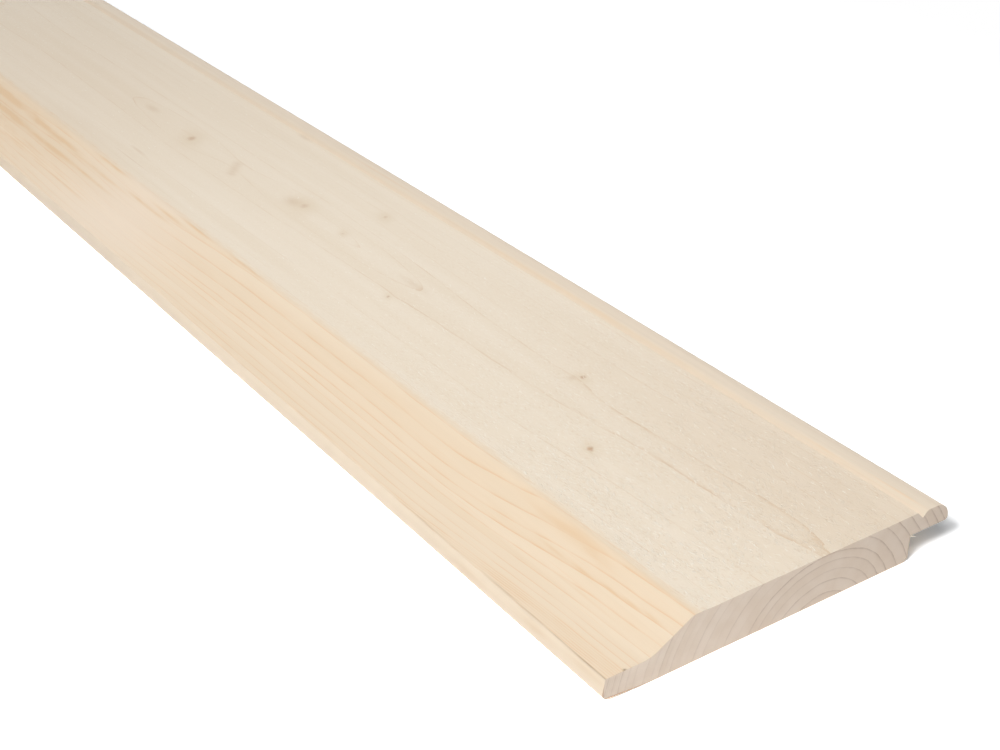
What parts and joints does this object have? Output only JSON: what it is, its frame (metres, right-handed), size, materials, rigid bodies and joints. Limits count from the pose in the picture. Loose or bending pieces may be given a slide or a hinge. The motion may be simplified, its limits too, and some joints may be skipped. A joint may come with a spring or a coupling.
{
  "type": "shiplap cladding board",
  "caption": "Long softwood wall-cladding board with a thin bevelled lip along one edge and a rebated, nosed lap with a V groove along the other.",
  "frame": {"origin": "middle of the flat back, half way along the board, with the back on the floor", "axes": "+Y along the board, +Z out of its front face, +X from the lip to the lap"},
  "size_m": [0.145, 1.8, 0.018],
  "materials": {
    "spruce": "untreated pale spruce, fine-sawn face with planed lip, bevel and lap"
  },
  "bodies": {
    "root": {"cladding_board": "spruce"}
  },
  "joints": []
}
